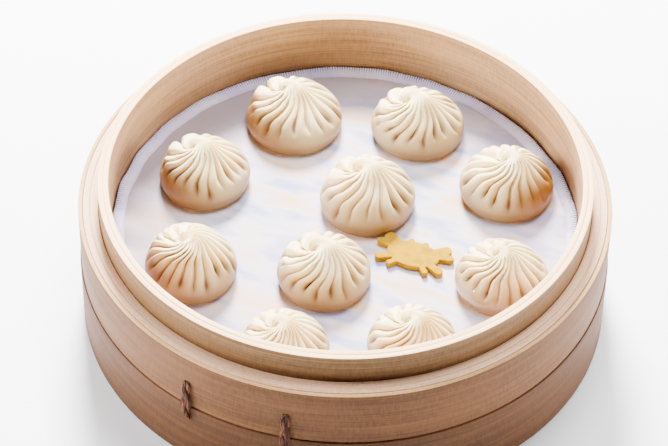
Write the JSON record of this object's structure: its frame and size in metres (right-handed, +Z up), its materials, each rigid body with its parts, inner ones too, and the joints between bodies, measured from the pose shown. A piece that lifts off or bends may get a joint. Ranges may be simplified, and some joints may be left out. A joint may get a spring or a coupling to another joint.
{
  "type": "basket of xiaolongbao soup dumplings",
  "caption": "Open bamboo steamer basket with a white cloth liner, holding pleated soup dumplings and a small flat crab-shaped garnish.",
  "frame": {"origin": "centre of the circle that the basket stands on, at the height of its lowest edge", "axes": "+Z up out of the open basket, -Y towards the side that the picture shows in front, +X to its right"},
  "size_m": [0.2552, 0.2552, 0.0817],
  "materials": {
    "pale_bamboo": "satin, fine straight grain, pale cut edges",
    "tan_bamboo": "satin, fine grain along the hoop",
    "slat_bamboo": "matt, unfinished strips",
    "white_cloth": "thin damp cotton, overlocked hem",
    "steamed_dough": "steamed wheat dough, soft and slightly translucent",
    "yellow_garnish": "moist cooked slice",
    "dark_rattan": "twisted split rattan, dark with paler edges"
  },
  "bodies": {
    "root": {"inner_hoop": "pale_bamboo", "floor_ring": "pale_bamboo", "upper_hoop": "pale_bamboo", "base_hoop": "pale_bamboo", "upper_band": "tan_bamboo", "base_band": "tan_bamboo", "bar_left": "slat_bamboo", "bar_right": "slat_bamboo", "cloth_liner": "white_cloth", "crab_garnish": "yellow_garnish", "slat_01": "slat_bamboo", "slat_02": "slat_bamboo", "slat_03": "slat_bamboo", "slat_04": "slat_bamboo", "slat_05": "slat_bamboo", "slat_06": "slat_bamboo", "slat_07": "slat_bamboo", "slat_08": "slat_bamboo", "slat_09": "slat_bamboo", "slat_10": "slat_bamboo", "slat_11": "slat_bamboo", "slat_12": "slat_bamboo", "slat_13": "slat_bamboo", "slat_14": "slat_bamboo", "slat_15": "slat_bamboo", "slat_16": "slat_bamboo", "slat_17": "slat_bamboo", "dumpling_01": "steamed_dough", "dumpling_02": "steamed_dough", "dumpling_03": "steamed_dough", "dumpling_04": "steamed_dough", "dumpling_05": "steamed_dough", "dumpling_06": "steamed_dough", "dumpling_07": "steamed_dough", "dumpling_08": "steamed_dough", "dumpling_09": "steamed_dough", "dumpling_10": "steamed_dough", "tie_1": "dark_rattan", "tie_2": "dark_rattan", "tie_3": "dark_rattan", "tie_4": "dark_rattan"}
  },
  "joints": []
}
